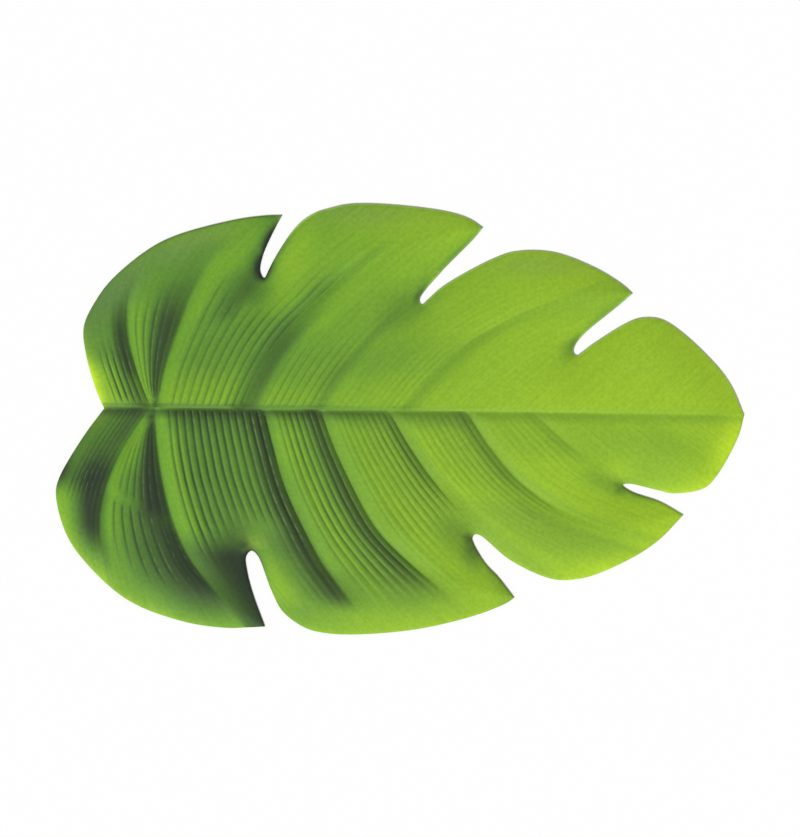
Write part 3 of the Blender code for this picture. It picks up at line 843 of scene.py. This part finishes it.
def paint_values(points, middles, outline):
    """The numbers that the leaf's colours are worked out from, one per corner each."""
    along, side = points[:, 0], points[:, 1]
    margin = margin_distance(points, outline)
    names = ("from_vein", "to_vein", "ground", "before", "after", "rib_count", "rib_shown")
    values = {name: np.zeros(len(points)) for name in names}
    place = (points, middles, margin, values)
    section_paint(UPPER_HALF, UPPER_BANDS, UPPER_RIB_PAINT, UPPER_EDGE_SOFTNESS, *place)
    section_paint(LOWER_HALF, LOWER_BANDS, LOWER_RIB_PAINT, LOWER_EDGE_SOFTNESS, *place)
    values["side"] = side
    upper = middles[:, 1] >= 0.0
    high = smooth_step(along, *UPPER_TIP_GREEN)
    values["tip_share"] = np.where(upper, high, smooth_step(along, *LOWER_TIP_GREEN))
    # The dark spots; those at the notches are painted shade
    values["dark_spot"] = soft_spots(DARK_SPOTS, points, margin)
    # Painted light along the rim of the upper half's margin
    pale = PALE_RIM_STRENGTH * upper * smooth_step(along, *PALE_RIM_START)
    values["rim"] = pale * (1.0 - smooth_step(margin, *PALE_RIM))
    # Painted highlights in lime
    values["lime_highlight"] = soft_spots(LIME_HIGHLIGHTS, points, margin)
    # Painted shade in a greyer green along the upper margins
    values["grey_shade"] = soft_spots(GREY_SHADE_SPOTS, points, margin)
    # Painted shade below the midrib and on the groove's upper wall
    below = plateau(-side, (*SHADE_START, *SHADE_END))
    below = below * between(*SHADE_STRENGTH, smooth_step(along, *SHADE_FADE))
    wall = between(*WALL_STRENGTH, smooth_step(along, *WALL_FADE))
    wall = wall * (1.0 - smooth_step(side, *WALL_END))
    values["midrib_shade"] = np.where(upper, wall, below)
    beside = LIGHT_STRENGTH * np.exp(-((side / LIGHT_WIDTH) ** 2))
    values["midrib_light"] = np.where(upper, beside, 0.0)
    return values


def leaf_object(box):
    """The fine blade, scaled and moved into the solid's box."""
    outline = leaf_outline(OUTLINE_STEP)
    plan, triangles = leaf_plan(outline)
    top, bottom = relief(plan, outline)
    count = len(plan)
    points = np.vstack([np.column_stack([plan, top]), np.column_stack([plan, bottom])])
    faces = list(triangles)
    faces += [tuple(index + count for index in reversed(face)) for face in triangles]
    smooth_count = len(faces)
    used = set()
    for a, b, c in triangles:
        used |= {(a, b), (b, c), (c, a)}
    for a, b in sorted(used):
        if (b, a) not in used:
            faces += [(b, a, a + count), (b, a + count, b + count)]
    low, high = np.array(box[0]), np.array(box[1])
    own_low, own_high = points.min(axis=0) * MILLIMETRE, points.max(axis=0) * MILLIMETRE
    scale = (high[0] - low[0]) / (own_high[0] - own_low[0])
    scales = np.array([scale, scale, 1.0])
    shift = 0.5 * (low + high) - 0.5 * (own_low + own_high) * scales
    shift[2] = low[2]
    placed = points * MILLIMETRE * scales + shift
    mesh = bpy.data.meshes.new("leaf_blade")
    mesh.from_pydata([tuple(point) for point in placed], [], faces)
    corners = plan[np.array(faces).ravel() % count]
    middles = np.repeat(corners.reshape(-1, 3, 2).mean(axis=1), 3, axis=0)
    for name, values in paint_values(corners, middles, outline).items():
        attribute = mesh.attributes.new(name, "FLOAT", "CORNER")
        attribute.data.foreach_set("value", values)
    under = mesh.attributes.new("under", "FLOAT", "POINT")
    under.data.foreach_set("value", np.repeat([0.0, 1.0], count))
    mesh.polygons.foreach_set("use_smooth", np.arange(len(faces)) < smooth_count)
    mesh.update()
    blade = bpy.data.objects.new("leaf_blade", mesh)
    bpy.context.scene.collection.objects.link(blade)
    return blade, shift


# The painted ribs: painted shade in each rib's foot and on its slope turned from the light,
# and a painted highlight along its crest. A rib is one wide, with its crest at 0.5. Its dark
# foot begins and is full at these distances from the crest, its dark slope and bright crest
# line at these places
RIB_FOOT = (0.26, 0.48)
RIB_SLOPE = (0.3, 1.0)
RIB_SLOPE_TONE = 0.45
CREST_RISE = (0.1, 0.2)
CREST_FALL = (0.36, 0.22)

# Each of these ramps is where it begins, where it ends, and its value before and after
CREST_IN_SHADE = (0.1, 0.9, 0.08, 0.5)
CREST_BROKEN = (0.4, 0.62, 0.1, 1.3)
RIB_PATCHES = (0.35, 0.65, 0.75, 1.0)
RIB_DRIFT = (0.3, 0.7, -0.05, 0.05)
STREAK_TONE = (0.3, 0.7, 0.96, 1.04)
GRAIN_TONE = (0.3, 0.7, 0.94, 1.06)
ROUGHNESS = (0.3, 0.7, 0.5, 0.62)

# How fine each noise is, per metre, and how detailed
DRIFT_NOISE = (30.0, 2.0)
PATCH_NOISE = (28.0, 2.0)
GRAIN_NOISE = (420.0, 4.0)
ROUGHNESS_NOISE = (90.0, 3.0)
BUMP_NOISE = (900.0, 3.0)

# Streaks: how many go across a rib, and how long they are in millimetres
CREST_STREAKS = (1.0, 5.0)
FINE_STREAKS = (3.0, 40.0)
STREAK_DETAIL = 2.0

SPECULAR_LEVEL = 0.12
BUMP_DISTANCE = 0.001
RIB_BUMP = -0.3
GRAIN_BUMP = 0.06


class Nodes:
    """Adds nodes to a material and links them up."""

    def __init__(self, material):
        self.tree = material.node_tree
        self.shader = self.tree.nodes["Principled BSDF"]

    def link(self, output, socket):
        self.tree.links.new(output, socket)

    def put(self, value, socket):
        """Links an output to a socket, or sets a plain value there."""
        if isinstance(value, bpy.types.NodeSocket):
            self.link(value, socket)
        else:
            socket.default_value = value

    def value(self, name):
        """A number that the mesh holds."""
        node = self.tree.nodes.new("ShaderNodeAttribute")
        node.attribute_name = name
        return node.outputs["Fac"]

    def calculate(self, operation, *values):
        node = self.tree.nodes.new("ShaderNodeMath")
        node.operation = operation
        for value, socket in zip(values, node.inputs):
            self.put(value, socket)
        return node.outputs["Value"]

    def product(self, first, second):
        return self.calculate("MULTIPLY", first, second)

    def difference(self, first, second):
        return self.calculate("SUBTRACT", first, second)

    def ramp(self, value, start, end, low=0.0, high=1.0):
        node = self.tree.nodes.new("ShaderNodeMapRange")
        node.interpolation_type = "SMOOTHSTEP"
        for name, number in (
            ("Value", value),
            ("From Min", start),
            ("From Max", end),
            ("To Min", low),
            ("To Max", high),
        ):
            self.put(number, node.inputs[name])
        return node.outputs["Result"]

    def mix(self, share, first, second, blend="MIX"):
        node = self.tree.nodes.new("ShaderNodeMix")
        node.data_type = "RGBA"
        node.blend_type = blend
        self.put(share, node.inputs["Factor"])
        first_colour, second_colour = (
            socket for socket in node.inputs if socket.type == "RGBA"
        )
        self.put(first, first_colour)
        self.put(second, second_colour)
        return next(socket for socket in node.outputs if socket.type == "RGBA")

    def both(self, first, second):
        """Two shades over each other."""
        rest = self.difference(1.0, first)
        light = self.product(rest, self.difference(1.0, second))
        return self.difference(1.0, light)

    def noise(self, scale, detail):
        place = self.tree.nodes.new("ShaderNodeTexCoord")
        node = self.tree.nodes.new("ShaderNodeTexNoise")
        node.inputs["Scale"].default_value = scale
        node.inputs["Detail"].default_value = detail
        self.link(place.outputs["Object"], node.inputs["Vector"])
        return node.outputs["Fac"]

    def over(self, ground, distance, beyond):
        """A shade that goes over softly, at a vein, to the shade beyond it."""
        far = self.calculate("ABSOLUTE", distance)
        near = self.calculate("EXPONENT", self.product(far, -EDGE_NEAR_FALL))
        tail = self.calculate("EXPONENT", self.product(far, -EDGE_TAIL_FALL))
        near_part = self.product(near, EDGE_NEAR)
        tail_part = self.product(tail, 0.5 - EDGE_NEAR)
        left = self.calculate("ADD", near_part, tail_part)
        passed = self.product(self.calculate("SIGN", distance), self.difference(0.5, left))
        share = self.difference(0.5, passed)
        change = self.product(self.difference(beyond, ground), share)
        return self.calculate("ADD", ground, change)

    def streaks(self, per_rib, length):
        """Noise drawn out along the ribs."""
        place = self.tree.nodes.new("ShaderNodeCombineXYZ")
        self.link(self.product(self.value("rib_count"), per_rib), place.inputs["X"])
        self.link(self.calculate("DIVIDE", self.value("side"), length), place.inputs["Y"])
        node = self.tree.nodes.new("ShaderNodeTexNoise")
        node.inputs["Scale"].default_value = 1.0
        node.inputs["Detail"].default_value = STREAK_DETAIL
        self.link(place.outputs["Vector"], node.inputs["Vector"])
        return node.outputs["Fac"]


def rib_shades(nodes):
    """(the painted shade of the ribs' feet, and of their feet and slopes, and the painted
    highlight of their crests).
    """
    drift = nodes.ramp(nodes.noise(*DRIFT_NOISE), *RIB_DRIFT)
    place = nodes.calculate("FRACT", nodes.calculate("ADD", nodes.value("rib_count"), drift))
    from_crest = nodes.calculate("ABSOLUTE", nodes.difference(place, 0.5))
    foot = nodes.ramp(from_crest, *RIB_FOOT)
    slope = nodes.ramp(place, *RIB_SLOPE, 0.0, RIB_SLOPE_TONE)
    crest = nodes.product(nodes.ramp(place, *CREST_RISE), nodes.ramp(place, *CREST_FALL))
    patches = nodes.ramp(nodes.noise(*PATCH_NOISE), *RIB_PATCHES)
    shown = nodes.product(nodes.value("rib_shown"), patches)
    groove = nodes.calculate("MAXIMUM", foot, slope)
    return tuple(nodes.product(shade, shown) for shade in (foot, groove, crest))


def dark_shade(nodes):
    """How dark the leaf is painted: the bands' painted shade, the dark spots, and the painted
    shade of the midrib.
    """
    ground = nodes.value("ground")
    first = nodes.over(ground, nodes.value("from_vein"), nodes.value("before"))
    second = nodes.over(ground, nodes.value("to_vein"), nodes.value("after"))
    dark = nodes.difference(nodes.calculate("ADD", first, second), ground)
    dark = nodes.both(dark, nodes.value("dark_spot"))
    return nodes.both(dark, nodes.value("midrib_shade"))


def leaf_colour(nodes, groove, crest):
    """The leaf's colour: greens with painted shade, highlights and light laid on, then the
    ribs' painted shade, the bands' and midrib's painted shade and the dark spots, the crest
    lines' painted highlights and the grain.
    """
    colour = nodes.mix(nodes.value("tip_share"), BASE_GREEN, TIP_GREEN)
    # A lighter strip above the midrib, then painted shade of a greyer green, painted highlights
    # and the rim's painted light
    colour = nodes.mix(nodes.value("midrib_light"), colour, LIME_GREEN)
    colour = nodes.mix(nodes.value("grey_shade"), colour, GREY_SHADE_GREEN)
    colour = nodes.mix(nodes.value("lime_highlight"), colour, LIME_GREEN)
    colour = nodes.mix(nodes.value("rim"), colour, RIM_LIGHT_GREEN)
    colour = nodes.mix(groove, colour, RIB_SHADE)
    dark = dark_shade(nodes)
    # 1 where the leaf is half dark, and 0 where it is fully dark or not dark at all
    half_dark = nodes.product(dark, nodes.difference(4.0, nodes.product(dark, 4.0)))
    colour = nodes.mix(half_dark, colour, HALF_SHADE_TINT, "MULTIPLY")
    colour = nodes.mix(dark, colour, DEEP_SHADE)
    # Painted highlights along the rib crests, stronger where the leaf is painted darker
    broken = nodes.ramp(nodes.streaks(*CREST_STREAKS), *CREST_BROKEN)
    line = nodes.product(crest, nodes.ramp(dark, *CREST_IN_SHADE))
    colour = nodes.mix(nodes.product(line, broken), colour, CREST_HIGHLIGHT_GREEN)
    streaks = nodes.ramp(nodes.streaks(*FINE_STREAKS), *STREAK_TONE)
    grain = nodes.product(nodes.ramp(nodes.noise(*GRAIN_NOISE), *GRAIN_TONE), streaks)
    tint = nodes.tree.nodes.new("ShaderNodeCombineColor")
    for name in ("Red", "Green", "Blue"):
        nodes.link(grain, tint.inputs[name])
    colour = nodes.mix(1.0, colour, tint.outputs["Color"], "MULTIPLY")
    return nodes.mix(nodes.value("under"), colour, UNDERSIDE_GREEN)


def leaf_material():
    """The leaf's surface: colour, roughness and a fine bump of ribs and grain."""
    material = bpy.data.materials.new("leaf_skin")
    material.use_nodes = True
    nodes = Nodes(material)
    foot, groove, crest = rib_shades(nodes)
    nodes.link(leaf_colour(nodes, groove, crest), nodes.shader.inputs["Base Color"])
    roughness = nodes.ramp(nodes.noise(*ROUGHNESS_NOISE), *ROUGHNESS)
    nodes.link(roughness, nodes.shader.inputs["Roughness"])
    nodes.shader.inputs["Specular IOR Level"].default_value = SPECULAR_LEVEL
    bump = nodes.tree.nodes.new("ShaderNodeBump")
    bump.inputs["Strength"].default_value = 1.0
    bump.inputs["Distance"].default_value = BUMP_DISTANCE
    ribs = nodes.product(foot, RIB_BUMP)
    grain = nodes.product(nodes.noise(*BUMP_NOISE), GRAIN_BUMP)
    nodes.link(nodes.calculate("ADD", ribs, grain), bump.inputs["Height"])
    nodes.link(bump.outputs["Normal"], nodes.shader.inputs["Normal"])
    return material


# The camera looks straight down. The photograph is 800 by 837, and these are the places in it
# of the leaf base and the leaf tip.
PHOTO_WIDTH = 800.0
PHOTO_HEIGHT = 837.0
BASE_PIXEL = (104.0, 406.8)
TIP_PIXEL = (744.8, 414.8)
LEAF_LENGTH = 450.0
LEAF_PIXELS = 688.0
MILLIMETRES_PER_PIXEL = LEAF_LENGTH / LEAF_PIXELS
LENS = 100.0
SENSOR = 36.0
LEAF_MIDDLE_HEIGHT = 0.002


def add_camera(leaf_origin):
    """A camera that sees the leaf where the photograph has it."""
    roll = math.atan2(TIP_PIXEL[1] - BASE_PIXEL[1], TIP_PIXEL[0] - BASE_PIXEL[0])
    right = (0.5 * PHOTO_WIDTH - BASE_PIXEL[0]) * MILLIMETRES_PER_PIXEL * MILLIMETRE
    up = (BASE_PIXEL[1] - 0.5 * PHOTO_HEIGHT) * MILLIMETRES_PER_PIXEL * MILLIMETRE
    camera = bpy.data.cameras.new("camera")
    camera.lens = LENS
    camera.sensor_width = SENSOR
    view = bpy.data.objects.new("camera", camera)
    height = LENS / SENSOR * PHOTO_HEIGHT * MILLIMETRES_PER_PIXEL * MILLIMETRE
    view.location = (
        leaf_origin[0] + right * math.cos(roll) - up * math.sin(roll),
        leaf_origin[1] + right * math.sin(roll) + up * math.cos(roll),
        LEAF_MIDDLE_HEIGHT + height,
    )
    view.rotation_euler = (0.0, 0.0, roll)
    bpy.context.scene.collection.objects.link(view)
    bpy.context.scene.camera = view


# The key light: the way it shines over the floor, how high it stands and how soft it is,
# in degrees
KEY_DIRECTION = (0.47, 0.88)
KEY_ELEVATION = 46.0
KEY_STRENGTH = 2.7
KEY_SOFTNESS = 18.0
FILL_STRENGTH = 0.45


def add_light():
    """A soft key light from the lower left, and an even white fill."""
    sun = bpy.data.lights.new("key", "SUN")
    sun.energy = KEY_STRENGTH
    sun.angle = math.radians(KEY_SOFTNESS)
    key = bpy.data.objects.new("key", sun)
    level = math.cos(math.radians(KEY_ELEVATION))
    length = math.hypot(*KEY_DIRECTION)
    travel = Vector((
        KEY_DIRECTION[0] / length * level,
        KEY_DIRECTION[1] / length * level,
        -math.sin(math.radians(KEY_ELEVATION)),
    ))
    key.rotation_euler = travel.to_track_quat("-Z", "Y").to_euler()
    bpy.context.scene.collection.objects.link(key)
    world = bpy.data.worlds.new("studio")
    world.use_nodes = True
    background = world.node_tree.nodes["Background"]
    background.inputs["Color"].default_value = (1.0, 1.0, 1.0, 1.0)
    background.inputs["Strength"].default_value = FILL_STRENGTH
    bpy.context.scene.world = world
    bpy.context.scene.view_settings.view_transform = "Standard"


# The floor, in metres
FLOOR_SIZE = 30.0
FLOOR_DROP = 0.00005
FLOOR_ROUGHNESS = 0.9
FLOOR_SPECULAR = 0.1
FLOOR_WHITE = (0.93, 0.93, 0.93, 1.0)


def add_floor():
    """A plain white floor under the leaf."""
    half = 0.5 * FLOOR_SIZE
    mesh = bpy.data.meshes.new("floor")
    corners = [(-half, -half), (half, -half), (half, half), (-half, half)]
    mesh.from_pydata([(x, y, -FLOOR_DROP) for x, y in corners], [], [(0, 1, 2, 3)])
    material = bpy.data.materials.new("floor_white")
    material.use_nodes = True
    shader = material.node_tree.nodes["Principled BSDF"]
    shader.inputs["Base Color"].default_value = FLOOR_WHITE
    shader.inputs["Roughness"].default_value = FLOOR_ROUGHNESS
    shader.inputs["Specular IOR Level"].default_value = FLOOR_SPECULAR
    mesh.materials.append(material)
    floor = bpy.data.objects.new("floor", mesh)
    bpy.context.scene.collection.objects.link(floor)


def build():
    """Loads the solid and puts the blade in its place."""
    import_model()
    blade, leaf_origin = leaf_object(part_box("leaf"))
    blade.data.materials.append(leaf_material())
    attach(blade, "root")
    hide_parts("leaf")
    add_camera(leaf_origin)
    add_light()
    add_floor()


build()
